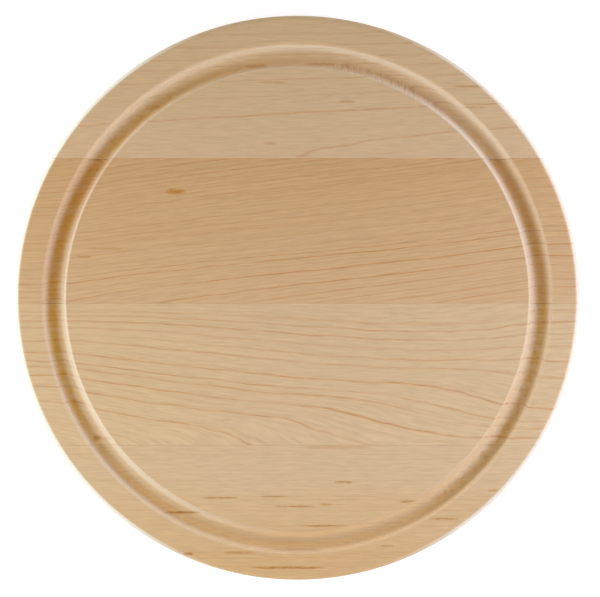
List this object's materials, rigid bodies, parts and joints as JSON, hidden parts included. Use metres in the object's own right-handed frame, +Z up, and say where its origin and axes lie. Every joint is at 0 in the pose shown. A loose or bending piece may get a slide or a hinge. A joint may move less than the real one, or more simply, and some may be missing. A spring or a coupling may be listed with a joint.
{
  "type": "round cutting board",
  "caption": "Round edge-glued hard maple cutting board with a round-bottomed juice groove inside a flat rim and rounded-over edges.",
  "frame": {"origin": "centre of the board's underside, on the surface that it lies on", "axes": "+Z up through the cutting face, X along the grain of the staves, +Y across the staves towards the far side"},
  "size_m": [0.305, 0.305, 0.019],
  "materials": {
    "maple_far_outer": "sanded and oiled, satin",
    "maple_far_inner": "sanded and oiled, satin",
    "maple_near_inner": "sanded and oiled, satin",
    "maple_near_outer": "sanded and oiled, satin",
    "wood_glue": "cured adhesive, sanded flush"
  },
  "bodies": {
    "root": {"far_outer_stave": "maple_far_outer", "far_glue_line": "wood_glue", "far_inner_stave": "maple_far_inner", "middle_glue_line": "wood_glue", "near_inner_stave": "maple_near_inner", "near_glue_line": "wood_glue", "near_outer_stave": "maple_near_outer"}
  },
  "joints": []
}
